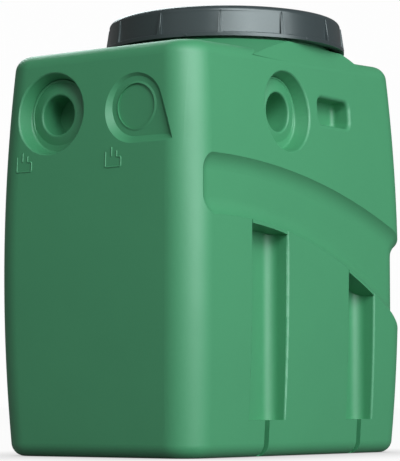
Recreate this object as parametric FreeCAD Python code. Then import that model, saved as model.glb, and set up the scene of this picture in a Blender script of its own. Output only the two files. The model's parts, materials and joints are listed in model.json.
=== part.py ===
import FreeCAD, Part
import math
import os

Vec = FreeCAD.Vector

# Tank body in mm: X along the length, inlet end at -X, Z up from the floor
tank_length = 700.0
tank_width = 433.0
wall = 6.0
barrel_radius = 4590.0
barrel_height = 332.0
corner_radius = 57.0
deck_low = 694.5
deck_rise = 33.0
deck_edge_radius = 28.0
foot_edge_radius = 24.0
inlet_end = -tank_length / 2
far_end = tank_length / 2

# Shoulder, neck and manhole, turned about a vertical axis
neck_from_far = 298.0
neck_inset = 22.5
neck_wall = 9.0
neck_height = 45.0
ring_rise = 13.5
ring_width = 23.0
ring_set_back = 0.5
flare_reach = 70.0
flare_drop = 39.0
shoulder_reach = 21.0

# Screw lid with its seal
lid_gap = 5.0
lid_room = 19.0
lid_draft = 3.0
lid_flange_width = 4.5
lid_flange_height = 6.0
lid_height = 56.0
lid_plate = 12.0
lid_edge_radius = 10.0
lid_skirt_wall = 8.0
lid_rib_count = 12
lid_rib_width = 9.0
lid_rib_taper = 3.0
lid_rib_turn = 3.0
lid_rib_root = 2.0
lid_rib_proud = 1.0
seal_width = 8.0

# Pipe sockets: a dished recess with a blind hole in its floor
socket_radius = 70.0
socket_floor_radius = 64.0
socket_depth = 29.0
socket_rim_radius = 5.0
socket_cove = 4.0
socket_hole_radius = 34.5
socket_hole_depth = 42.0
inlet_y = 90.0
inlet_below_deck = 107.5
delivery_from_neck = 106.0
delivery_below_deck = 94.5

# Knock-out panel: a shallow teardrop dish with a sunk disc
drop_radius = 60.0
drop_depth = 8.0
drop_slope = 9.0
drop_tail = 80.0
knock_radius = 38.5
knock_depth = 2.0

# Hand pocket on the long side
pocket_from_neck = 48.0
pocket_below_deck = 81.5
pocket_length = 104.0
pocket_height = 48.0
pocket_depth = 38.0
pocket_corner = 14.0
pocket_rim = 7.0
pocket_back = 9.0

# Arched band with a cove all round it, over the long sides and the far end
band_depth = 15.0
band_cove = 38.0
band_upper_radius = 1577.0
band_upper_apex = 509.5
band_lower_radius = 1051.0
band_lower_apex = 403.0
band_axis_from_inlet = 104.0
band_from_inlet = 32.0
band_end_radius = 42.0

# Square tool channels with a foot ledge and an anchor slot
channel_from_inlet = 230.0
channel_from_far = 171.0
channel_half = (53.5, 43.0)
channel_top = (387.0, 299.0)
channel_depth = 42.0
channel_bend = 20.0
channel_rim = 4.0
channel_lip = 5.0
channel_ledge = 62.0
slot_width = 14.0
slot_depth = 22.0

# Levels where the shell is divided into its named pieces
floor_split = 40.0
deck_skirt = 9.0
corner_margin = 4.0
cup_reach = 10.0
cup_edge = 1.0
pocket_edge = 14.0
strip_edge = 10.0
band_seam = 2.5

# Places that follow from the sizes above
far = 2.0 * tank_length
spare = 20.0
neck_x = far_end - neck_from_far
neck_radius = tank_width / 2 - neck_inset
bore_radius = neck_radius - neck_wall
ring_radius = neck_radius + ring_width
ring_height = deck_low + deck_rise * (neck_x - inlet_end) / tank_length + ring_rise
neck_top = ring_height + neck_height
flare_height = ring_height - flare_drop
lid_base = ring_height + lid_gap
lid_top = lid_base + lid_height
lid_top_radius = neck_radius + lid_room
lid_skirt_foot = lid_top_radius + lid_draft
lid_radius = lid_skirt_foot + lid_flange_width
deck_split = deck_low - deck_skirt
inlet_z = deck_low - inlet_below_deck
delivery_x = neck_x - delivery_from_neck
delivery_z = deck_low - delivery_below_deck
pocket_x = neck_x + pocket_from_neck
pocket_z = deck_low - pocket_below_deck
band_axis_x = inlet_end + band_axis_from_inlet
band_start_x = inlet_end + band_from_inlet
band_mouth = band_upper_apex - band_lower_apex
cove_radius = min(band_cove, 0.45 * band_mouth)
cove_end_radius = min(band_end_radius, 0.5 * band_mouth)
band_rise = cove_radius - math.sqrt(cove_radius ** 2 - (cove_radius - band_depth) ** 2)
channel_x = (inlet_end + channel_from_inlet, far_end - channel_from_far)
corner_x = far_end - corner_radius - corner_margin
corner_y = tank_width / 2 - corner_radius - corner_margin


def barrel(z):
    """Return how far a wall stands in from its widest line at height z."""
    return (z - barrel_height) ** 2 / (2 * barrel_radius)


def half_length(z, inset=0.0):
    """Return half the length at height z, less an inset."""
    return tank_length / 2 - inset - barrel(z)


def half_width(z, inset=0.0):
    """Return half the width at height z, less an inset."""
    return tank_width / 2 - inset - barrel(z)


def deck_height(x, inset=0.0):
    """Return the height of the sloping deck at x, less an inset."""
    return deck_low - inset + deck_rise * (x - inlet_end) / tank_length


def box(x0, x1, y0, y1, z0, z1):
    """Return a box between two corners."""
    return Part.makeBox(x1 - x0, y1 - y0, z1 - z0, Vec(x0, y0, z0))


def line(a, b):
    """Return a straight edge."""
    return Part.LineSegment(a, b).toShape()


def arc(a, b, c):
    """Return an arc through three points."""
    return Part.Arc(a, b, c).toShape()


def face_of(edges):
    """Return a flat face inside a closed run of edges."""
    return Part.Face(Part.Wire(edges))


def polygon(points):
    """Return a flat face inside straight lines."""
    return Part.Face(Part.makePolygon(points + points[:1]))


def turned(points, x=neck_x, y=0.0):
    """Return a solid turned about a vertical axis from (radius, height) points."""
    face = polygon([Vec(x + r, y, z) for r, z in points])
    return face.revolve(Vec(x, y, 0), Vec(0, 0, 1), 360)


def ring(inner, outer, z0, z1):
    """Return a plain ring about the neck axis."""
    return turned([(inner, z0), (outer, z0), (outer, z1), (inner, z1)])


def tidy(shape):
    """Return the one solid in a shape, with its faces merged."""
    solids = shape.removeSplitter().Solids
    return max(solids, key=lambda s: s.Volume)


def between_sides(inset):
    """Return the space between the two long walls, from end to end."""
    low = -spare
    high = ring_height + spare
    widest = half_width(barrel_height, inset)
    a = Vec(-tank_length, -half_width(low, inset), low)
    b = Vec(-tank_length, half_width(low, inset), low)
    c = Vec(-tank_length, half_width(high, inset), high)
    d = Vec(-tank_length, -half_width(high, inset), high)
    section = face_of([
        line(a, b),
        arc(b, Vec(-tank_length, widest, barrel_height), c),
        line(c, d),
        arc(d, Vec(-tank_length, -widest, barrel_height), a),
    ])
    return section.extrude(Vec(2 * tank_length, 0, 0))


def body(inset):
    """Return the barrel-sided box with a sloping deck and rounded edges."""
    left_x = inlet_end
    right_x = far_end
    for step in range(5):
        left_z = deck_height(left_x, inset)
        right_z = deck_height(right_x, inset)
        left_x = -half_length(left_z, inset)
        right_x = half_length(right_z, inset)
    foot = half_length(inset, inset)
    widest = half_length(barrel_height, inset)
    a = Vec(-foot, -tank_width, inset)
    b = Vec(foot, -tank_width, inset)
    c = Vec(right_x, -tank_width, right_z)
    d = Vec(left_x, -tank_width, left_z)
    side = face_of([
        line(a, b),
        arc(b, Vec(widest, -tank_width, barrel_height), c),
        line(c, d),
        arc(d, Vec(-widest, -tank_width, barrel_height), a),
    ])
    long_way = side.extrude(Vec(0, 2 * tank_width, 0))
    solid = long_way.common(between_sides(inset)).Solids[0]
    upright = [e for e in solid.Edges if e.BoundBox.ZLength > deck_low / 2]
    solid = solid.makeFillet(corner_radius - inset, upright)
    deck = max(solid.Faces, key=lambda f: f.CenterOfMass.z)
    solid = solid.makeFillet(deck_edge_radius - inset, deck.OuterWire.Edges)
    base = min(solid.Faces, key=lambda f: f.CenterOfMass.z)
    solid = solid.makeFillet(foot_edge_radius - inset, base.OuterWire.Edges)
    return solid


def shoulder_outer():
    """Return the solid shoulder, flush with the long walls, and the neck on it."""
    flare = turned([
        (0, flare_height),
        (ring_radius + flare_reach, flare_height),
        (ring_radius, ring_height),
        (0, ring_height),
    ])
    neck = Part.makeCylinder(neck_radius, neck_height + wall, Vec(neck_x, 0, ring_height - wall))
    return flare.common(between_sides(ring_set_back)).fuse(neck)


def shoulder_inner():
    """Return the hollow of the shoulder and the manhole bore."""
    roof = ring_height - wall
    slope = flare_reach / flare_drop
    back = wall * math.hypot(1, slope) - wall * slope
    hollow = turned([
        (0, flare_height),
        (ring_radius - back + (roof - flare_height) * slope, flare_height),
        (ring_radius - back, roof),
        (0, roof),
    ])
    hollow = hollow.common(between_sides(wall + ring_set_back))
    bore = Part.makeCylinder(bore_radius, far, Vec(neck_x, 0, flare_height))
    return hollow.fuse(bore)


def arch_z(radius, apex, x):
    """Return the height of an arched band edge at x."""
    return apex - radius + math.sqrt(radius ** 2 - (x - band_axis_x) ** 2)


def band_edge(radius, apex, x0, x1):
    """Return an arched band edge from x0 to x1 as an arc in the XZ plane."""
    mid = (x0 + x1) / 2
    points = [Vec(x, -far, arch_z(radius, apex, x)) for x in (x0, mid, x1)]
    return arc(*points)


def band_region(grow, start):
    """Return the space between the two arched edges, right across the tank."""
    end = far_end + corner_radius
    out = band_rise + grow
    top = band_edge(band_upper_radius + out, band_upper_apex + out, start, end)
    low = band_edge(band_lower_radius - out, band_lower_apex - out, start, end)
    right = line(top.Vertexes[1].Point, low.Vertexes[1].Point)
    left = line(low.Vertexes[0].Point, top.Vertexes[0].Point)
    face = Part.Face(Part.Wire(Part.__sortEdges__([top, right, low, left])))
    return face.extrude(Vec(0, 2 * far, 0))


def band_tool(grow):
    """Return the band's recess, with a cove along every side of it."""
    start = band_start_x - band_rise - grow
    region = band_region(grow, start)
    ends = [e for e in region.Edges if e.BoundBox.YLength > far and e.BoundBox.XMax < start + 1]
    region = region.makeFillet(cove_end_radius + grow, ends)
    depth = band_depth + grow
    y = tank_width / 2 - depth
    x = far_end - depth
    core = box(-far, x, -y, y, -far, far)
    upright = [e for e in core.Edges if e.BoundBox.ZLength > far and e.BoundBox.XMin > x - 1]
    core = core.makeFillet(corner_radius - depth, upright)
    recess = region.cut(core).Solids[0]
    inner = [f for f in recess.Faces if max(abs(v.Point.y) for v in f.Vertexes) < y + 1]
    seams = {}
    for face in inner:
        for edge in face.OuterWire.Edges:
            seams.setdefault(edge.hashCode(), []).append(edge)
    edges = [found[0] for found in seams.values() if len(found) == 1]
    return recess.makeFillet(cove_radius + grow, edges)


def above(radius, apex):
    """Return all the space above an arched edge."""
    edge = band_edge(radius, apex, -tank_length, far_end + corner_radius)
    a = edge.Vertexes[0].Point
    b = edge.Vertexes[1].Point
    c = Vec(b.x, b.y, far)
    d = Vec(a.x, a.y, far)
    face = Part.Face(Part.Wire([edge, line(b, c), line(c, d), line(d, a)]))
    return face.extrude(Vec(0, 2 * far, 0))


def sided(shape, side):
    """Return a shape made for the +Y side, mirrored over if the side is -1."""
    if side > 0:
        return shape
    return shape.mirror(Vec(0, 0, 0), Vec(0, 1, 0))


def channel_space(index, side, grow):
    """Return one upright channel from its ledge to a flat top inside the band."""
    x = channel_x[index]
    half = channel_half[index] + grow
    deep = tank_width / 2 - channel_depth - grow
    top = arch_z(band_lower_radius, band_lower_apex, x - channel_half[index]) + spare
    space = box(x - half, x + half, deep, tank_width, channel_ledge - grow, top)
    back = [e for e in space.Edges if e.BoundBox.ZLength > 1 and e.BoundBox.YMax < deep + 1]
    return sided(space.makeFillet(channel_bend + grow, back), side)


def channel_roof(index, side, grow):
    """Return what lies above a channel's sloping roof and above the band's lower edge."""
    x = channel_x[index]
    half = channel_half[index] + grow
    deep = tank_width / 2 - channel_depth - grow
    foot = channel_top[index] + grow
    lip_apex = band_lower_apex - channel_lip
    lip = arch_z(band_lower_radius, lip_apex, x - channel_half[index]) + grow
    slope = (lip - foot) / channel_depth
    reach = tank_width / 2 + spare
    slab = polygon([
        Vec(x - 2 * half, deep - spare, foot - spare * slope),
        Vec(x - 2 * half, reach, foot + (reach - deep) * slope),
        Vec(x - 2 * half, reach, far),
        Vec(x - 2 * half, deep - spare, far),
    ]).extrude(Vec(4 * half, 0, 0))
    return sided(slab.fuse(above(band_lower_radius + grow, lip_apex + grow)), side)


def channel_tool(index, side, grow):
    """Return one channel from its ledge to its sloping roof."""
    return channel_space(index, side, grow).cut(channel_roof(index, side, grow))


def channel_block(index, side, grow):
    """Return what fills a channel's space above its roof."""
    return channel_space(index, side, grow).common(channel_roof(index, side, grow))


def slot_tool(index, side, grow):
    """Return the anchor slot under one channel's ledge."""
    x = channel_x[index]
    half = slot_width / 2 + grow
    y = half_width(channel_ledge) - slot_depth - grow
    slot = box(x - half, x + half, y, tank_width, -spare, channel_ledge + 1.0)
    return sided(slot, side)


def every_channel(make, grow):
    """Return what a function makes for each of the four channels."""
    return [make(index, side, grow) for side in (-1, 1) for index in range(len(channel_x))]


def with_channels(solid):
    """Return the tank body with the channels cut in and their upright edges rounded."""
    cut = solid.cut(every_channel(channel_space, 0.0))
    rims = []
    for edge in cut.Edges:
        size = edge.BoundBox
        at_mouth = abs(size.Center.y) > tank_width / 2 - channel_depth / 2
        upright = size.ZLength > channel_ledge and size.XLength < 1
        near = any(abs(abs(size.Center.x - x) - half) < 1 for x, half in zip(channel_x, channel_half))
        if at_mouth and upright and near:
            rims.append(edge)
    rounded = cut.makeFillet(channel_rim, rims)
    roofs = [block.common(solid) for block in every_channel(channel_block, 0.0)]
    return rounded.fuse(roofs)


def aimed(tool, at, out):
    """Return a tool made along +Z, set at a point with its mouth facing out."""
    turn = FreeCAD.Rotation(Vec(0, 0, 1), out)
    placed = tool.copy()
    placed.Placement = FreeCAD.Placement(at, turn)
    return placed


def socket_tool(at, out, tilt, grow):
    """Return a dished recess square to the wall with a level blind hole."""
    r = socket_radius
    f = socket_rim_radius
    outer = r + f
    g = grow
    start = Vec(outer + g, 0, -g)
    corner = Vec(r + g, 0, -f - g)
    edges = [line(Vec(0, 0, spare), Vec(outer + g, 0, spare)), line(Vec(outer + g, 0, spare), start)]
    if g > 0:
        edges.append(line(start, corner))
    else:
        bend = f * (1 - math.sqrt(0.5))
        edges.append(arc(start, Vec(r + bend, 0, -bend), corner))
    floor = -socket_depth - g
    edges.append(line(corner, Vec(socket_floor_radius + g, 0, floor)))
    edges.append(line(Vec(socket_floor_radius + g, 0, floor), Vec(0, 0, floor)))
    edges.append(line(Vec(0, 0, floor), Vec(0, 0, spare)))
    dish = face_of(edges).revolve(Vec(0, 0, 0), Vec(0, 0, 1), 360)
    rim = [e for e in dish.Edges if e.BoundBox.ZMax < floor + 1 and e.BoundBox.XLength > r]
    dish = dish.makeFillet(socket_cove + g, rim)
    dish = aimed(dish, at, tilt)
    bottom = socket_depth + socket_hole_depth + g
    hole = Part.makeCylinder(socket_hole_radius + g, bottom, Vec(0, 0, -bottom))
    return dish.fuse(aimed(hole, at, out))


def drop_wire(at, radius, x):
    """Return a teardrop outline about a point on the inlet end, at depth x."""
    tail = drop_tail * radius / drop_radius
    y = at.y
    z = at.z
    tip = Vec(x, y - tail, z - radius)
    reach = math.hypot(tail, radius)
    lean = 2 * math.atan2(radius, tail)
    touch = Vec(x, tip.y + tail * math.cos(lean), tip.z + tail * math.sin(lean))
    back = Vec(x, y + radius * tail / reach, z + radius * radius / reach)
    under = Vec(x, y, z - radius)
    return Part.Wire([line(under, tip), line(tip, touch), arc(touch, back, under)])


def drop_tool(at, grow):
    """Return the sloping teardrop dish of the knock-out panel."""
    out = drop_wire(at, drop_radius + drop_slope + grow, at.x - drop_depth)
    low = drop_wire(at, drop_radius - drop_slope + grow, at.x + drop_depth + grow)
    return Part.makeLoft([out, low], True, True)


def pocket_tool(grow):
    """Return the hand pocket, rounded at its corners and along its back."""
    y = -half_width(pocket_z)
    depth = pocket_depth + grow
    length = pocket_length + 2 * grow
    height = pocket_height + 2 * grow
    x0 = pocket_x - length / 2
    z0 = pocket_z - height / 2
    hole = box(x0, x0 + length, y - spare, y + depth, z0, z0 + height)
    edges = [e for e in hole.Edges if e.BoundBox.YLength > depth]
    hole = hole.makeFillet(pocket_corner + grow, edges)
    back = max(hole.Faces, key=lambda f: f.CenterOfMass.y)
    return hole.makeFillet(pocket_back + grow, back.OuterWire.Edges)


def with_pocket(solid):
    """Return the tank body with the hand pocket cut in and its mouth rounded."""
    cut = solid.cut(pocket_tool(0.0))
    reach = -half_width(pocket_z) + pocket_rim
    spread = pocket_length / 2 + 1.0
    mouth = []
    for edge in cut.Edges:
        size = edge.BoundBox
        near = abs(size.Center.x - pocket_x) < spread and abs(size.Center.z - pocket_z) < spread
        if near and size.YMax < reach and size.XLength < 2 * spread:
            mouth.append(edge)
    return cut.makeFillet(pocket_rim, mouth)


# Places of the sockets on their walls and the way each wall faces
lean_end = Vec(-1, 0, (inlet_z - barrel_height) / barrel_radius)
lean_side = Vec(0, -1, (delivery_z - barrel_height) / barrel_radius)
inlet_at = Vec(-half_length(inlet_z), inlet_y, inlet_z)
knock_at = Vec(-half_length(inlet_z), -inlet_y, inlet_z)
delivery_at = Vec(delivery_x, -half_width(delivery_z), delivery_z)


def tools(grow):
    """Return the recesses that are cut after the channels and the hand pocket."""
    found = [band_tool(grow)]
    found += every_channel(slot_tool, grow)
    found.append(socket_tool(inlet_at, Vec(-1, 0, 0), lean_end, grow))
    found.append(socket_tool(delivery_at, Vec(0, -1, 0), lean_side, grow))
    found.append(drop_tool(knock_at, grow))
    return found


# The hollow shell of the tank, with the knock-out disc sunk into its dish
knock_floor = Vec(knock_at.x + drop_depth + knock_depth, knock_at.y, knock_at.z)
knock_disc = Part.makeCylinder(knock_radius, drop_depth, Vec(0, 0, 0))
knock_disc = aimed(knock_disc, knock_floor, Vec(-1, 0, 0))
outer = with_pocket(with_channels(body(0.0))).fuse(shoulder_outer())
outer = outer.cut(tools(0.0) + [knock_disc])
inner = body(wall).fuse(shoulder_inner())
inner = inner.cut(tools(wall) + every_channel(channel_tool, wall) + [pocket_tool(wall)])
shell = tidy(outer.cut(inner))

nodes = {}

# Socket cups, the knock-out panel and the hand pocket come out of the shell first
cup = socket_radius + socket_rim_radius + wall + cup_edge
deep = socket_depth + socket_hole_depth + wall + cup_reach
cup_box = Part.makeCylinder(cup, deep + cup_reach, Vec(0, 0, -deep))
inlet_space = aimed(cup_box, inlet_at, Vec(-1, 0, 0))
delivery_space = aimed(cup_box, delivery_at, Vec(0, -1, 0))
knock_space = box(
    -tank_length, knock_at.x + drop_depth + 3 * wall,
    -inlet_y - drop_tail - 2 * drop_slope, -inlet_y + drop_radius + 2 * drop_slope,
    inlet_z - drop_radius - 2 * drop_slope, inlet_z + drop_radius + 2 * drop_slope,
)
pocket_space = box(
    pocket_x - pocket_length / 2 - pocket_edge, pocket_x + pocket_length / 2 + pocket_edge,
    -tank_width, -half_width(pocket_z) + pocket_depth + 2 * wall,
    pocket_z - pocket_height / 2 - pocket_edge, pocket_z + pocket_height / 2 + pocket_edge,
)
nodes["inlet_socket"] = tidy(shell.common(inlet_space))
nodes["delivery_socket"] = tidy(shell.common(delivery_space))
nodes["knockout_panel"] = tidy(shell.common(knock_space))
nodes["hand_pocket"] = tidy(shell.common(pocket_space))
rest = shell.cut([inlet_space, delivery_space, knock_space, pocket_space])

# Floor, deck, shoulder and neck
nodes["floor"] = tidy(rest.common(box(-far, far, -far, far, -far, floor_split)))
top = rest.common(box(-far, far, -far, far, deck_split, far))
neck_space = Part.makeCylinder(neck_radius + 0.5, far, Vec(neck_x, 0, deck_split))
rim_space = Part.makeCylinder(ring_radius + shoulder_reach, far, Vec(neck_x, 0, deck_split))
nodes["neck"] = tidy(top.common(neck_space))
nodes["shoulder"] = tidy(top.common(rim_space).cut(neck_space))
deck = top.cut(rim_space)
deck_left = deck.common(box(-far, neck_x, -far, far, -far, far))
deck_right = deck.common(box(neck_x, far, -far, far, -far, far))
nodes["deck_inlet"] = tidy(deck_left)
nodes["deck_far"] = tidy(deck_right)

# End walls and corner posts
middle = rest.common(box(-far, far, -far, far, floor_split, deck_split))
nodes["inlet_wall"] = tidy(middle.common(box(-far, -corner_x, -corner_y, corner_y, -far, far)))
nodes["far_wall"] = tidy(middle.common(box(corner_x, far, -corner_y, corner_y, -far, far)))
for name, side in (("near", -1), ("back", 1)):
    y0 = min(side * corner_y, side * far)
    y1 = max(side * corner_y, side * far)
    nodes["inlet_corner_" + name] = tidy(middle.common(box(-far, -corner_x, y0, y1, -far, far)))
    nodes["far_corner_" + name] = tidy(middle.common(box(corner_x, far, y0, y1, -far, far)))

# Long sides: an upper panel, the band, and strips with the channels below it
over = above(band_upper_radius + band_seam, band_upper_apex + band_seam)
not_under = above(band_lower_radius - band_seam, band_lower_apex - band_seam)
edges = [-corner_x]
for x, half in zip(channel_x, channel_half):
    edges.append(x - half - strip_edge)
    edges.append(x + half + strip_edge)
edges.append(corner_x)
strips = ("panel_1", "channel_1", "panel_2", "channel_2", "panel_3")
for name, side in (("near", -1), ("back", 1)):
    y0 = min(side * corner_y, side * far)
    y1 = max(side * corner_y, side * far)
    wall_piece = middle.common(box(-corner_x, corner_x, y0, y1, -far, far))
    nodes[name + "_upper_panel"] = tidy(wall_piece.common(over))
    nodes[name + "_band"] = tidy(wall_piece.common(not_under).cut(over))
    lower = wall_piece.cut(not_under)
    for strip, x0, x1 in zip(strips, edges[:-1], edges[1:]):
        nodes[name + "_" + strip] = tidy(lower.common(box(x0, x1, y0, y1, -far, far)))

# Lid: a plate with a rounded edge, a ribbed skirt and a flange
plate_base = lid_top - lid_plate
plate = Part.makeCylinder(lid_top_radius, lid_plate, Vec(neck_x, 0, plate_base))
rounded = [e for e in plate.Edges if e.BoundBox.ZMin > lid_top - 0.1]
nodes["lid_plate"] = tidy(plate.makeFillet(lid_edge_radius, rounded))
flange_top = lid_base + lid_flange_height
skirt_inner = lid_top_radius - lid_skirt_wall
skirt = turned([
    (skirt_inner, flange_top),
    (lid_skirt_foot, flange_top),
    (lid_top_radius, plate_base),
    (skirt_inner, plate_base),
])
nodes["lid_flange"] = tidy(ring(skirt_inner, lid_radius, lid_base, flange_top))
rib_root = skirt_inner + lid_rib_root
rib_head = lid_top_radius + lid_rib_proud
ribs = []
for index in range(lid_rib_count):
    low = lid_rib_width / 2
    high = low - lid_rib_taper / 2
    foot = [
        Vec(rib_root, -low, flange_top), Vec(lid_radius, -low, flange_top),
        Vec(lid_radius, low, flange_top), Vec(rib_root, low, flange_top),
    ]
    head = [
        Vec(rib_root, -high, plate_base), Vec(rib_head, -high, plate_base),
        Vec(rib_head, high, plate_base), Vec(rib_root, high, plate_base),
    ]
    rib = Part.makeLoft([Part.makePolygon(p + p[:1]) for p in (foot, head)], True, True)
    rib.rotate(Vec(0, 0, 0), Vec(0, 0, 1), lid_rib_turn + index * 360.0 / lid_rib_count)
    rib.translate(Vec(neck_x, 0, 0))
    ribs.append(rib)
nodes["lid_skirt"] = tidy(skirt.fuse(ribs))
nodes["lid_seal"] = tidy(ring(bore_radius, bore_radius + seal_width, neck_top, plate_base))

os.makedirs("parts", exist_ok=True)
for name, shape in nodes.items():
    shape.exportStep("parts/" + name + ".step")
    print(name, shape.isValid(), len(shape.Solids), round(shape.Volume / 1e3, 1))
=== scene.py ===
"""Looks of a green barrel-sided waste water tank with a dark ribbed screw lid.

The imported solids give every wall, recess and rib. This script dresses them and adds the fine
moulded relief: the vessel signs, the socket collars, the knock-out rim, the screw thread, and
the ridges, bead and ticks of the lid. It also sets the studio and the camera.
"""

import json
import logging
import math
from dataclasses import dataclass, field
from enum import Enum
from typing import Optional, Sequence, Union

import bmesh
import bpy
from mathutils import Matrix, Vector
from mathutils.bvhtree import BVHTree


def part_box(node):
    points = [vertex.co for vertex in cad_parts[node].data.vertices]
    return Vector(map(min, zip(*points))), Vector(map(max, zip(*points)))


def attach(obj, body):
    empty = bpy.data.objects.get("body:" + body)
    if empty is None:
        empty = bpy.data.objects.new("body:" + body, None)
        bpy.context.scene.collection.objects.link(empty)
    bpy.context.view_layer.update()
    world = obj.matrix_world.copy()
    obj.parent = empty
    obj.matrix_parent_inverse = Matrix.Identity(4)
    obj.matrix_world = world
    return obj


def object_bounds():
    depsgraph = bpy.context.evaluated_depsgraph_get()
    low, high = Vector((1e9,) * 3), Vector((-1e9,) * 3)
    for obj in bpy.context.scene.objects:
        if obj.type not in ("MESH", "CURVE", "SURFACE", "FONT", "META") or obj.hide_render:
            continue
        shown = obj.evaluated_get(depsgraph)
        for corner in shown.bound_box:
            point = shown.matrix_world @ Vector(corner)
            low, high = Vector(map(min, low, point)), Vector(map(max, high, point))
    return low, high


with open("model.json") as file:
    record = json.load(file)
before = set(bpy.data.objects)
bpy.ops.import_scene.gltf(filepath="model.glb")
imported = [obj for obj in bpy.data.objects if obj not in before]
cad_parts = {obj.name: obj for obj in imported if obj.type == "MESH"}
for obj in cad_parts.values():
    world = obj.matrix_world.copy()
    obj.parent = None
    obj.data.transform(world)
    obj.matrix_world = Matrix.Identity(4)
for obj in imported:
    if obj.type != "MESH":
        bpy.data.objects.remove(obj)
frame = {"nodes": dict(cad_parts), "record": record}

LOG = logging.getLogger("tank")
MM = 0.001
CAD_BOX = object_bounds()
SHARP_ANGLE = 40.0
MERGE_DISTANCE = 0.00001
ROUND_PROFILE = 0.5
KEEP_MATERIAL = -1
NOISE_SPAN = (0.3, 0.7)
WHOLE_SPAN = (0.0, 1.0)
UP = Vector((0.0, 0.0, 1.0))
INWARDS = Vector((1.0, 0.0, 0.0))

Colour = tuple[float, float, float]
Point2 = tuple[float, float]
TreeOwner = Union[bpy.types.Material, bpy.types.World]


class Body(Enum):
    """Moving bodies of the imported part."""

    TANK = "tank"
    SEAL = "seal"
    LID = "lid"


class Slot(Enum):
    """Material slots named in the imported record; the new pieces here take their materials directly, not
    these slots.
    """

    TANK = "tank_plastic"
    LID = "lid_plastic"


class Output(Enum):
    """Output nodes of a material's tree and of a world's."""

    MATERIAL = "ShaderNodeOutputMaterial"
    WORLD = "ShaderNodeOutputWorld"


class NodeBoard:
    """The node tree of a material or a world, with short calls for adding and joining nodes."""

    def __init__(self, owner: TreeOwner, output: Output) -> None:
        """Start an empty tree.

        Args:
            owner: The material or the world.
            output: The output node that the tree ends in.
        """
        owner.use_nodes = True
        self.tree = owner.node_tree
        self.tree.nodes.clear()
        self.output = self.add(output.value)

    def add(self, kind: str, **values: object) -> bpy.types.Node:
        """Add a node and set its properties.

        Args:
            kind: The node's type.
            values: Node properties by name.

        Returns:
            The new node.
        """
        node = self.tree.nodes.new(kind)
        for name, value in values.items():
            setattr(node, name, value)
        return node

    def join(self, source: bpy.types.NodeSocket, target: bpy.types.NodeSocket) -> None:
        """Link one socket to another."""
        self.tree.links.new(source, target)

    def show(self, shader: bpy.types.NodeSocket) -> None:
        """Lead a shader to the tree's output."""
        self.join(shader, self.output.inputs["Surface"])

    def noise(self, scale: float, detail: float) -> bpy.types.NodeSocket:
        """Add noise on object coordinates.

        Args:
            scale: Patterns per metre.
            detail: Octaves of finer noise.

        Returns:
            The noise's factor socket.
        """
        place = self.add("ShaderNodeTexCoord")
        node = self.add("ShaderNodeTexNoise")
        node.inputs["Scale"].default_value = scale
        node.inputs["Detail"].default_value = detail
        self.join(place.outputs["Object"], node.inputs["Vector"])
        return node.outputs["Fac"]

    def spread(
        self,
        source: bpy.types.NodeSocket,
        values: Point2,
        span: Point2 = NOISE_SPAN,
    ) -> bpy.types.NodeSocket:
        """Spread a span of a factor over a range of values.

        Args:
            source: A factor from 0 to 1.
            values: The values at the span's two ends.
            span: The part of the factor that is spread, the middle of a noise unless given.

        Returns:
            The spread value's socket.
        """
        node = self.add("ShaderNodeMapRange")
        node.inputs["From Min"].default_value, node.inputs["From Max"].default_value = span
        node.inputs["To Min"].default_value, node.inputs["To Max"].default_value = values
        self.join(source, node.inputs["Value"])
        return node.outputs["Result"]

    def scaled(self, source: bpy.types.NodeSocket, share: float) -> bpy.types.NodeSocket:
        """Multiply a value by a fixed share.

        Args:
            source: The value's socket.
            share: What it is multiplied by.

        Returns:
            The product's socket.
        """
        node = self.add("ShaderNodeMath", operation="MULTIPLY")
        node.inputs[1].default_value = share
        self.join(source, node.inputs[0])
        return node.outputs["Value"]

    def larger(self, first: bpy.types.NodeSocket, second: bpy.types.NodeSocket) -> bpy.types.NodeSocket:
        """Take the larger of two values.

        Args:
            first: One value's socket.
            second: The other value's socket.

        Returns:
            The larger value's socket.
        """
        node = self.add("ShaderNodeMath", operation="MAXIMUM")
        self.join(first, node.inputs[0])
        self.join(second, node.inputs[1])
        return node.outputs["Value"]

    def blend(self, factor: bpy.types.NodeSocket, first: Colour, second: Colour) -> bpy.types.NodeSocket:
        """Mix two colours by a factor.

        Args:
            factor: The share of the second colour.
            first: The colour at 0.
            second: The colour at 1.

        Returns:
            The mixed colour's socket.
        """
        node = self.add("ShaderNodeMix", data_type="RGBA")
        colours = [socket for socket in node.inputs if socket.type == "RGBA"]
        colours[0].default_value = (*first, 1.0)
        colours[1].default_value = (*second, 1.0)
        self.join(factor, node.inputs["Factor"])
        return next(socket for socket in node.outputs if socket.type == "RGBA")

    def bump(
        self,
        height: bpy.types.NodeSocket,
        depth: float,
        strength: float,
        under: Optional[bpy.types.NodeSocket] = None,
    ) -> bpy.types.NodeSocket:
        """Turn a height into a bumped normal.

        Args:
            height: The height's socket, from 0 to 1.
            depth: The height of 1, in metres.
            strength: How much of the bump shows.
            under: A bumped normal that this one lies on.

        Returns:
            The normal's socket.
        """
        node = self.add("ShaderNodeBump")
        node.inputs["Strength"].default_value = strength
        node.inputs["Distance"].default_value = depth
        self.join(height, node.inputs["Height"])
        if under is not None:
            self.join(under, node.inputs["Normal"])
        return node.outputs["Normal"]


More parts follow.
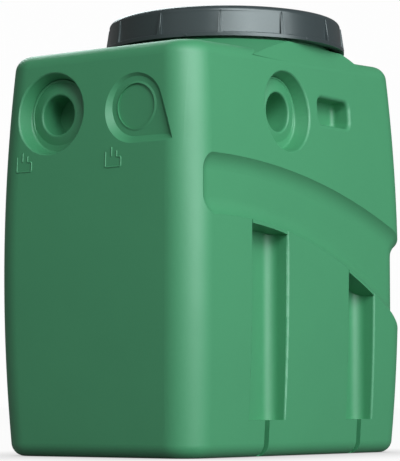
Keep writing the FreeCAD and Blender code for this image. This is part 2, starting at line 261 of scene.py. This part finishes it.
@dataclass(frozen=True)
class MouldedPlastic:
    """A moulded plastic with a slightly uneven colour, gloss and skin."""

    name: str
    colour: Colour
    deeper: Colour
    gloss: Point2
    shine: float
    cloud_scale: float = 5.0
    cloud_detail: float = 3.0
    fleck_scale: float = 260.0
    fleck_detail: float = 2.0
    fleck_share: float = 0.25
    sink_scale: float = 9.0
    sink_detail: float = 1.0
    sink_depth: float = 0.0012
    sink_strength: float = 0.5
    skin_scale: float = 650.0
    skin_detail: float = 2.0
    skin_depth: float = 0.00006
    skin_strength: float = 0.6

    def material(self) -> bpy.types.Material:
        """Build the plastic's node material.

        Returns:
            The material.
        """
        material = bpy.data.materials.new(self.name)
        board = NodeBoard(material, Output.MATERIAL)
        shader = board.add("ShaderNodeBsdfPrincipled")
        cloud = board.noise(self.cloud_scale, self.cloud_detail)
        fleck = board.noise(self.fleck_scale, self.fleck_detail)
        share = board.add("ShaderNodeMix", data_type="FLOAT")
        share.inputs["Factor"].default_value = self.fleck_share
        board.join(cloud, share.inputs["A"])
        board.join(fleck, share.inputs["B"])
        tint = board.spread(share.outputs["Result"], WHOLE_SPAN)
        board.join(board.blend(tint, self.colour, self.deeper), shader.inputs["Base Color"])
        board.join(board.spread(cloud, self.gloss), shader.inputs["Roughness"])
        shader.inputs["Specular IOR Level"].default_value = self.shine
        hollows = board.noise(self.sink_scale, self.sink_detail)
        sink = board.bump(hollows, self.sink_depth, self.sink_strength)
        pores = board.noise(self.skin_scale, self.skin_detail)
        skin = board.bump(pores, self.skin_depth, self.skin_strength, sink)
        board.join(skin, shader.inputs["Normal"])
        board.show(shader.outputs["BSDF"])
        return material


TANK_GREEN = MouldedPlastic(
    name="tank_green",
    colour=(0.062, 0.304, 0.136),
    deeper=(0.053, 0.280, 0.124),
    gloss=(0.50, 0.57),
    shine=0.95,
)
LID_GREY = MouldedPlastic(
    name="lid_grey",
    colour=(0.040, 0.051, 0.054),
    deeper=(0.032, 0.042, 0.045),
    gloss=(0.29, 0.36),
    shine=0.85,
    sink_depth=0.0006,
    skin_scale=900.0,
    skin_depth=0.00010,
)
SEAL_BLACK = MouldedPlastic(
    name="seal_black",
    colour=(0.016, 0.016, 0.017),
    deeper=(0.010, 0.010, 0.011),
    gloss=(0.55, 0.68),
    shine=0.35,
)


def add_piece(
    work: bmesh.types.BMesh,
    name: str,
    body: Body,
    material: bpy.types.Material,
) -> None:
    """Turn finished mesh work into a named piece that rides on a body.

    Args:
        work: The shape, in its place; it is freed here.
        name: The piece's name.
        body: The body that carries it.
        material: The finish.
    """
    bmesh.ops.remove_doubles(work, verts=work.verts, dist=MERGE_DISTANCE)
    bmesh.ops.recalc_face_normals(work, faces=work.faces)
    mesh = bpy.data.meshes.new(name)
    work.to_mesh(mesh)
    work.free()
    mesh.materials.append(material)
    mesh.polygons.foreach_set("use_smooth", [True] * len(mesh.polygons))
    mesh.set_sharp_from_angle(angle=math.radians(SHARP_ANGLE))
    obj = bpy.data.objects.new(name, mesh)
    bpy.context.scene.collection.objects.link(obj)
    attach(obj, body.value)
    LOG.info("%s rides on %s with %d faces", name, body.value, len(mesh.polygons))


def dress_nodes(nodes: Sequence[str], material: bpy.types.Material) -> None:
    """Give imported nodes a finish.

    Args:
        nodes: The nodes' names.
        material: The finish.
    """
    for name in nodes:
        mesh = frame["nodes"][name].data
        mesh.materials.clear()
        mesh.materials.append(material)
        LOG.info("%s wears %s", name, material.name)


def round_box(node: str) -> tuple[Vector, float, float]:
    """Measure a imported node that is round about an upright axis.

    Args:
        node: The node's name.

    Returns:
        The middle of its box, its outer radius and the height of its top.
    """
    low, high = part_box(node)
    return (low + high) / 2, (high.x - low.x) / 2, high.z


def surface_of(node: str) -> BVHTree:
    """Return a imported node's surface, to find places on it."""
    return BVHTree.FromObject(frame["nodes"][node], bpy.context.evaluated_depsgraph_get())


def round_edges(
    work: bmesh.types.BMesh,
    edges: Sequence[bmesh.types.BMEdge],
    radius: float,
    segments: int,
) -> None:
    """Round edges with a circular bevel.

    Args:
        work: The mesh work.
        edges: The edges to round.
        radius: How far the bevel reaches from the edge, in metres.
        segments: How many steps the bevel has.
    """
    bmesh.ops.bevel(work, geom=edges, offset=radius, affect="EDGES", segments=segments,
                    profile=ROUND_PROFILE, material=KEEP_MATERIAL)


def places_round(centre: Vector, count: int, first: float) -> list[Matrix]:
    """Find evenly spaced places round an upright axis.

    Args:
        centre: A point of the axis.
        count: How many places there are.
        first: The first place's angle, in degrees from +X.

    Returns:
        The matrix that turns and moves a piece to each place.
    """
    turns = [math.radians(first) + math.tau * index / count for index in range(count)]
    return [Matrix.Translation(centre) @ Matrix.Rotation(turn, 4, "Z") for turn in turns]


def spun_ring(section: Sequence[Point2], centre: Vector, axis: Vector, steps: int) -> bmesh.types.BMesh:
    """Spin a closed section round an axis.

    Args:
        section: Points as distance from the axis and rise along it, in metres.
        centre: The point of the axis where the rise is 0.
        axis: The axis, as a unit vector.
        steps: How many steps the ring has.

    Returns:
        The ring's mesh work.
    """
    work = bmesh.new()
    across = axis.orthogonal().normalized()
    points = [work.verts.new(centre + across * out + axis * rise) for out, rise in section]
    face = work.faces.new(points)
    loop = face.edges[:]
    bmesh.ops.delete(work, geom=[face], context="FACES_ONLY")
    bmesh.ops.spin(work, geom=loop, cent=centre, axis=axis, angle=math.tau, steps=steps, use_merge=True)
    return work


class Bead:
    """A round moulded bead that is drawn in the XZ plane, run by run, with rounded turns."""

    SIDES = 10
    TURN_STEPS = 5

    def __init__(self, work: bmesh.types.BMesh, start: Point2, heading: float, radius: float) -> None:
        """Start a bead with a round end face.

        Args:
            work: The mesh work to draw in.
            start: Where the bead starts, in metres.
            heading: The way it runs, in degrees from +X towards +Z.
            radius: Its radius in metres.
        """
        self.work = work
        self.place = Vector((start[0], 0.0, start[1]))
        self.heading = heading
        facing = self.ahead().to_track_quat("Z", "Y").to_matrix().to_4x4()
        bmesh.ops.create_circle(work, cap_ends=True, segments=self.SIDES, radius=radius,
                                matrix=Matrix.Translation(self.place) @ facing)
        work.faces.ensure_lookup_table()
        self.tip = work.faces[-1]

    def ahead(self) -> Vector:
        """Return the unit vector along the present heading."""
        turn = math.radians(self.heading)
        return Vector((math.cos(turn), 0.0, math.sin(turn)))

    def run(self, length: float) -> "Bead":
        """Draw a straight run.

        Args:
            length: The run's length in metres.

        Returns:
            The bead itself, to go on drawing.
        """
        made = bmesh.ops.extrude_face_region(self.work, geom=[self.tip])["geom"]
        points = [g for g in made if isinstance(g, bmesh.types.BMVert)]
        step = self.ahead() * length
        bmesh.ops.translate(self.work, verts=points, vec=step)
        self.tip = next(g for g in made if isinstance(g, bmesh.types.BMFace))
        self.place += step
        return self

    def turn(self, angle: float, radius: float) -> "Bead":
        """Draw a rounded turn.

        Args:
            angle: Degrees to turn by, positive towards the left of the heading.
            radius: The turn's radius in metres.

        Returns:
            The bead itself, to go on drawing.
        """
        side = Vector((-self.ahead().z, 0.0, self.ahead().x)) * math.copysign(radius, angle)
        centre = self.place + side
        spin = Matrix.Rotation(math.radians(-angle), 3, "Y")
        made = bmesh.ops.spin(self.work, geom=[self.tip], cent=centre, axis=(0.0, 1.0, 0.0),
                              angle=math.radians(-angle), steps=self.TURN_STEPS)["geom_last"]
        self.tip = next(g for g in made if isinstance(g, bmesh.types.BMFace))
        self.place = centre - spin @ side
        self.heading += angle
        return self


@dataclass(frozen=True)
class VesselSign:
    """A raised outline of an open vessel with a pipe coming down into it, moulded on the inlet end."""

    across: float
    base: float
    width: float = 0.0325
    tall_side: float = 0.026
    low_side: float = 0.0165
    neck_side: float = 0.0085
    neck_inset: float = 0.009
    pipe_across: float = -0.0035
    pipe_top: float = 0.0335
    pipe_length: float = 0.016
    stroke: float = 0.0015
    bend: float = 0.002
    sunk: float = 0.0003

    def draw(self) -> bmesh.types.BMesh:
        """Draw the sign's strokes flat in the XZ plane, seen from -Y.

        Returns:
            The mesh work of both strokes.
        """
        work = bmesh.new()
        bend = self.bend
        outline = Bead(work, (-self.width / 2, self.tall_side), -90.0, self.stroke)
        outline.run(self.tall_side - bend).turn(90.0, bend).run(self.width - 2 * bend).turn(90.0, bend)
        outline.run(self.low_side - 2 * bend).turn(90.0, bend).run(self.neck_inset - 2 * bend)
        outline.turn(-90.0, bend).run(self.neck_side)
        Bead(work, (self.pipe_across, self.pipe_top), -90.0, self.stroke).run(self.pipe_length)
        return work

    def lay(self, work: bmesh.types.BMesh, walls: Sequence[BVHTree]) -> None:
        """Lay the flat strokes on the barrelled inlet end.

        Args:
            work: The strokes as drawn.
            walls: The walls' surfaces.
        """
        for vert in work.verts:
            y = self.across - vert.co.x
            z = self.base + vert.co.z
            outside = Vector((CAD_BOX[0].x, y, z))
            found = min((wall.find_nearest(outside) for wall in walls), key=lambda hit: hit[3])
            face_x = found[0].x
            vert.co = Vector((face_x + self.sunk + vert.co.y, y, z))


@dataclass(frozen=True)
class NeckThread:
    """The screw thread round the neck, under the lid."""

    pitch: float = 0.012
    turns: float = 2.25
    steps_a_turn: int = 96
    first_rise: float = 0.008
    root: float = 0.007
    crest: float = 0.003
    proud: float = 0.005
    sunk: float = 0.001
    foot_seam: float = 0.0005

    def build(self, material: bpy.types.Material) -> None:
        """Spin the thread's section up the neck.

        Args:
            material: The shell's finish.
        """
        middle, foot_radius, _ = round_box("neck")
        radius = foot_radius - self.foot_seam
        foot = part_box("shoulder")[1].z + self.first_rise
        section = [(-self.sunk, -self.root / 2), (self.proud, -self.crest / 2),
                   (self.proud, self.crest / 2), (-self.sunk, self.root / 2)]
        work = bmesh.new()
        ring = [work.verts.new((middle.x + radius + out, middle.y, foot + up)) for out, up in section]
        face = work.faces.new(ring)
        bmesh.ops.spin(work, geom=[face], cent=middle, axis=UP, dvec=UP * self.pitch / self.steps_a_turn,
                       angle=math.tau * self.turns, steps=round(self.turns * self.steps_a_turn))
        add_piece(work, "neck_thread", Body.TANK, material)


@dataclass(frozen=True)
class SocketCollar:
    """The raised collar round a socket's hole, with a rounded lip and a low step at its foot."""

    mount: str
    foot: float = 0.0285
    step_width: float = 0.0022
    step_rise: float = 0.0018
    step_flank: float = 0.0010
    slope_foot: float = 0.0006
    lip_rise: float = 0.0085
    lip_round: float = 0.0050
    lip_segments: int = 5
    sunk: float = 0.0004
    reach_in: float = 0.0030
    skin: float = 0.0001
    steps: int = 96

    def build(self, material: bpy.types.Material) -> None:
        """Spin the collar round the socket's axis and round its lip.

        Args:
            material: The shell's finish.
        """
        mount = next(m for m in frame["record"]["mounts"] if m["name"] == self.mount)
        axis = Vector(mount["axis"])
        hole = mount["dims"]["r_mm"] * MM - self.skin
        floor_place = Vector(mount["pos_m"]) + axis * mount["dims"]["length_mm"] * MM / 2
        foot = hole + self.foot
        step_out = foot - self.step_flank
        step_in = step_out - self.step_width
        section = [(foot, -self.sunk), (step_out, self.step_rise), (step_in, self.step_rise),
                   (step_in - self.step_flank, self.slope_foot), (hole, self.lip_rise),
                   (hole, -self.reach_in)]
        work = spun_ring(section, floor_place, axis, self.steps)
        lip = [edge for edge in work.edges if all(
            abs((vert.co - floor_place).dot(axis) - self.lip_rise) < self.skin for vert in edge.verts)]
        round_edges(work, lip, self.lip_round, self.lip_segments)
        add_piece(work, self.mount.replace("_bore", "_collar"), Body.TANK, material)


@dataclass(frozen=True)
class KnockOutRim:
    """The low moulded rim round the knock-out disc in the teardrop dish."""

    centre: Point2 = (-0.090, 0.587)
    radius: float = 0.0385
    width: float = 0.0045
    crest: float = 0.0009
    rise: float = 0.0014
    sunk: float = 0.0003
    disc_depth: float = 0.0021
    skin: float = 0.0001
    steps: int = 96

    def build(self, material: bpy.types.Material) -> None:
        """Find the dish's floor beside the disc and spin the rim on it.

        Args:
            material: The shell's finish.
        """
        across, height = self.centre
        outside = Vector((CAD_BOX[0].x, across, height + self.radius + 2 * self.width))
        floor_x = surface_of("knockout_panel").ray_cast(outside, INWARDS)[0].x
        inner = self.radius - self.skin
        section = [(inner, -self.disc_depth), (inner, self.rise), (inner + self.crest, self.rise),
                   (inner + self.width, -self.sunk)]
        work = spun_ring(section, Vector((floor_x, across, height)), -INWARDS, self.steps)
        add_piece(work, "knockout_rim", Body.TANK, material)


@dataclass
class TankShell:
    """The green moulded shell: all nodes of the tank's body and the relief moulded on them."""

    finish: MouldedPlastic = TANK_GREEN
    signs: tuple[VesselSign, ...] = (
        VesselSign(across=-0.050, base=0.486),
        VesselSign(across=0.1445, base=0.489),
    )
    collars: tuple[SocketCollar, ...] = (SocketCollar("inlet_bore"), SocketCollar("delivery_bore"))
    knockout_rim: KnockOutRim = KnockOutRim()
    thread: NeckThread = NeckThread()
    sign_walls: tuple[str, ...] = ("inlet_wall", "inlet_corner_back")
    nodes: list[str] = field(default_factory=lambda: list(
        frame["record"]["behaviour"]["bodies"][Body.TANK.value]))

    def dress(self) -> bpy.types.Material:
        """Dress the shell's nodes.

        Returns:
            The shell's material.
        """
        material = self.finish.material()
        dress_nodes(self.nodes, material)
        return material

    def build(self) -> None:
        """Dress the shell and mould its signs, collars, knock-out rim and thread."""
        material = self.dress()
        walls = [surface_of(name) for name in self.sign_walls]
        for index, sign in enumerate(self.signs, start=1):
            work = sign.draw()
            sign.lay(work, walls)
            add_piece(work, f"vessel_sign_{index}", Body.TANK, material)
        for collar in self.collars:
            collar.build(material)
        self.knockout_rim.build(material)
        self.thread.build(material)


@dataclass
class ScrewLid:
    """The dark ribbed lid with its rubber seal, and the ridges, bead and ticks moulded on it."""

    finish: MouldedPlastic = LID_GREY
    rubber: MouldedPlastic = SEAL_BLACK
    tick_count: int = 6
    first_tick: float = -163.4
    tick_size: tuple[float, float, float] = (0.0022, 0.0050, 0.0046)
    tick_proud: float = 0.0007
    tick_round: float = 0.0005
    rib_count: int = 12
    first_rib: float = 3.0
    ridge_sides: int = 12
    ridge_foot: float = 0.0021
    ridge_foot_inset: float = 0.0018
    ridge_head: float = 0.0014
    ridge_head_inset: float = -0.0003
    ridge_head_drop: float = 0.0090
    ridge_round: float = 0.0008
    bead_radius: float = 0.0012
    bead_inset: float = 0.0012
    bead_sides: int = 8
    bead_steps: int = 144
    round_segments: int = 2

    def dress(self) -> bpy.types.Material:
        """Dress the lid and the seal.

        Returns:
            The lid's material.
        """
        bodies = frame["record"]["behaviour"]["bodies"]
        material = self.finish.material()
        dress_nodes(bodies[Body.LID.value], material)
        dress_nodes(bodies[Body.SEAL.value], self.rubber.material())
        return material

    def rib_ridges(self, material: bpy.types.Material) -> None:
        """Lay a round tapered ridge along each rib, from the flange to the rounded top edge.

        Args:
            material: The lid's finish.
        """
        middle, flange_radius, flange_top = round_box("lid_flange")
        _, plate_radius, plate_top = round_box("lid_plate")
        foot = Vector((flange_radius - self.ridge_foot_inset, 0.0, flange_top))
        head = Vector((plate_radius - self.ridge_head_inset, 0.0, plate_top - self.ridge_head_drop))
        along = head - foot
        lean = Matrix.Translation((foot + head) / 2) @ along.to_track_quat("Z", "Y").to_matrix().to_4x4()
        work = bmesh.new()
        for place in places_round(Vector((middle.x, middle.y, 0.0)), self.rib_count, self.first_rib):
            bmesh.ops.create_cone(work, cap_ends=True, segments=self.ridge_sides, radius1=self.ridge_foot,
                                  radius2=self.ridge_head, depth=along.length, matrix=place @ lean)
        caps = [face for face in work.faces if len(face.verts) == self.ridge_sides]
        rims = [edge for face in caps for edge in face.edges]
        round_edges(work, rims, self.ridge_round, self.round_segments)
        add_piece(work, "rib_ridges", Body.LID, material)

    def flange_bead(self, material: bpy.types.Material) -> None:
        """Spin a thin round bead along the flange's upper edge.

        Args:
            material: The lid's finish.
        """
        middle, flange_radius, flange_top = round_box("lid_flange")
        reach = flange_radius - self.bead_inset
        turns = [math.tau * index / self.bead_sides for index in range(self.bead_sides)]
        section = [(reach + self.bead_radius * math.cos(turn), self.bead_radius * math.sin(turn))
                   for turn in turns]
        work = spun_ring(section, Vector((middle.x, middle.y, flange_top)), UP, self.bead_steps)
        add_piece(work, "flange_bead", Body.LID, material)

    def flange_ticks(self, material: bpy.types.Material) -> None:
        """Set small raised ticks round the flange.

        Args:
            material: The lid's finish.
        """
        middle, flange_radius, _ = round_box("lid_flange")
        reach = flange_radius + self.tick_proud - self.tick_size[0] / 2
        block = Matrix.Translation((reach, 0.0, 0.0)) @ Matrix.Diagonal((*self.tick_size, 1.0))
        work = bmesh.new()
        for place in places_round(middle, self.tick_count, self.first_tick):
            bmesh.ops.create_cube(work, size=1.0, matrix=place @ block)
        round_edges(work, work.edges[:], self.tick_round, self.round_segments)
        add_piece(work, "flange_ticks", Body.LID, material)

    def build(self) -> None:
        """Dress the lid and mould its ridges, bead and ticks."""
        material = self.dress()
        self.rib_ridges(material)
        self.flange_bead(material)
        self.flange_ticks(material)


def bearing(azimuth: float, elevation: float) -> Vector:
    """Find the way from the tank to a place round it.

    Args:
        azimuth: Degrees round the tank, 0 at -Y and positive towards +X.
        elevation: Degrees above level.

    Returns:
        The unit vector.
    """
    turn = math.radians(azimuth)
    rise = math.radians(elevation)
    return Vector((math.sin(turn) * math.cos(rise), -math.cos(turn) * math.cos(rise), math.sin(rise)))


def stand(name: str, data: bpy.types.ID, place: Vector, ahead: Vector) -> bpy.types.Object:
    """Stand a lamp or the camera in its place.

    Args:
        name: The object's name.
        data: The lamp's or the camera's settings.
        place: Where it stands.
        ahead: The way it faces.

    Returns:
        The new object.
    """
    obj = bpy.data.objects.new(name, data)
    obj.location = place
    obj.rotation_mode = "QUATERNION"
    obj.rotation_quaternion = ahead.to_track_quat("-Z", "Y")
    bpy.context.scene.collection.objects.link(obj)
    return obj


@dataclass(frozen=True)
class PhotoCamera:
    """The camera, where the photograph was taken from."""

    image_size: tuple[int, int] = (400, 461)
    focal_pixels: float = 2144.8
    sensor: float = 36.0
    place: tuple[float, float, float] = (-3.1692, -2.2501, 0.0911)
    azimuth: float = -54.4
    pitch: float = 4.6
    clip_end: float = 200.0

    def build(self) -> None:
        """Set the camera and make it the scene's own."""
        data = bpy.data.cameras.new("camera")
        data.sensor_width = self.sensor
        data.sensor_fit = "AUTO"
        data.lens = self.focal_pixels / max(self.image_size) * self.sensor
        data.clip_end = self.clip_end
        ahead = -bearing(self.azimuth, -self.pitch)
        bpy.context.scene.camera = stand("camera", data, Vector(self.place), ahead)


@dataclass(frozen=True)
class Softbox:
    """A square lamp that faces the middle of the tank, out of the camera's sight."""

    name: str
    azimuth: float
    elevation: float
    side: float
    power: float
    distance: float = 5.0
    tint: Colour = (0.86, 0.985, 1.0)

    def build(self) -> None:
        """Set the lamp."""
        data = bpy.data.lights.new(self.name, "AREA")
        data.shape = "SQUARE"
        data.size = self.side
        data.energy = self.power
        data.color = self.tint
        out = bearing(self.azimuth, self.elevation)
        middle = (CAD_BOX[0] + CAD_BOX[1]) / 2
        lamp = stand(self.name, data, middle + out * self.distance, -out)
        lamp.visible_camera = False


@dataclass
class Studio:
    """White studio: floor, backdrop, lamps and the camera."""

    camera: PhotoCamera = PhotoCamera()
    lamps: tuple[Softbox, ...] = (
        Softbox("key_softbox", azimuth=-13.0, elevation=18.0, side=3.6, power=212.0),
        Softbox("side_softbox", azimuth=-44.0, elevation=32.0, side=2.2, power=115.0),
        Softbox("left_fill", azimuth=-92.0, elevation=32.0, side=4.0, power=16.0),
        Softbox("back_fill", azimuth=145.0, elevation=40.0, side=2.5, power=110.0),
    )
    floor_side: float = 60.0
    floor_colour: Colour = (0.20, 0.20, 0.20)
    floor_glow: float = 0.96
    # Painted shadow on the floor: how far it reaches, its samples, and the glow level at contact and in
    # the clear.
    painted_shadow_reach: float = 0.28
    painted_shadow_samples: int = 16
    painted_shadow_level: float = 0.40
    clear_shade: float = 1.0
    ambient: float = 0.04
    backdrop: float = 0.985
    backdrop_colour: Colour = (1.0, 1.0, 1.0)
    gloss_share: float = 0.12

    def seen_rays(self, board: NodeBoard) -> bpy.types.NodeSocket:
        """Find the rays that see the backdrop: from the camera, off gloss and through glass.

        Args:
            board: The node tree to add to.

        Returns:
            A socket that is 1 for rays that see it whole and less for those off gloss.
        """
        path = board.add("ShaderNodeLightPath").outputs
        gloss = board.scaled(path["Is Glossy Ray"], self.gloss_share)
        seen = board.larger(path["Is Camera Ray"], gloss)
        return board.larger(seen, path["Is Transmission Ray"])

    def world(self) -> None:
        """Make the backdrop white where it is seen and dim where it lights."""
        world = bpy.data.worlds.new("studio")
        board = NodeBoard(world, Output.WORLD)
        back = board.add("ShaderNodeBackground")
        back.inputs["Color"].default_value = (*self.backdrop_colour, 1.0)
        strength = board.spread(self.seen_rays(board), (self.ambient, self.backdrop), WHOLE_SPAN)
        board.join(strength, back.inputs["Strength"])
        board.show(back.outputs["Background"])
        bpy.context.scene.world = world

    def floor_with_painted_shadow(self) -> bpy.types.Material:
        """Make a floor that glows white, with a painted shadow: ambient occlusion dims its glow close to
        the tank.

        Returns:
            The floor's material.
        """
        material = bpy.data.materials.new("studio_floor")
        board = NodeBoard(material, Output.MATERIAL)
        paint = board.add("ShaderNodeBsdfDiffuse")
        paint.inputs["Color"].default_value = (*self.floor_colour, 1.0)
        # Painted shadow: ambient occlusion dims the floor's glow close to the tank.
        occlusion = board.add("ShaderNodeAmbientOcclusion", samples=self.painted_shadow_samples)
        occlusion.inputs["Distance"].default_value = self.painted_shadow_reach
        painted_shadow = board.spread(occlusion.outputs["AO"], (self.painted_shadow_level, self.clear_shade), WHOLE_SPAN)
        glow = board.add("ShaderNodeEmission")
        board.join(painted_shadow, glow.inputs["Strength"])
        both = board.add("ShaderNodeMixShader")
        board.join(board.scaled(self.seen_rays(board), self.floor_glow), both.inputs["Fac"])
        board.join(paint.outputs["BSDF"], both.inputs[1])
        board.join(glow.outputs["Emission"], both.inputs[2])
        board.show(both.outputs["Shader"])
        return material

    def floor(self) -> None:
        """Lay a pale floor with a painted soft shadow round the tank, beside a faint real shadow from its
        small diffuse share.
        """
        work = bmesh.new()
        bmesh.ops.create_grid(work, x_segments=1, y_segments=1, size=self.floor_side / 2)
        mesh = bpy.data.meshes.new("floor_plane")
        work.to_mesh(mesh)
        work.free()
        mesh.materials.append(self.floor_with_painted_shadow())
        obj = bpy.data.objects.new("floor_plane", mesh)
        bpy.context.scene.collection.objects.link(obj)

    def build(self) -> None:
        """Set the whole studio."""
        bpy.context.scene.view_settings.view_transform = "Standard"
        self.camera.build()
        self.world()
        self.floor()
        for lamp in self.lamps:
            lamp.build()


def main() -> None:
    """Build and dress the tank, piece by piece."""
    logging.basicConfig(level=logging.INFO, format="%(name)s: %(message)s")
    TankShell().build()
    ScrewLid().build()
    Studio().build()


if __name__ == "__main__":
    main()
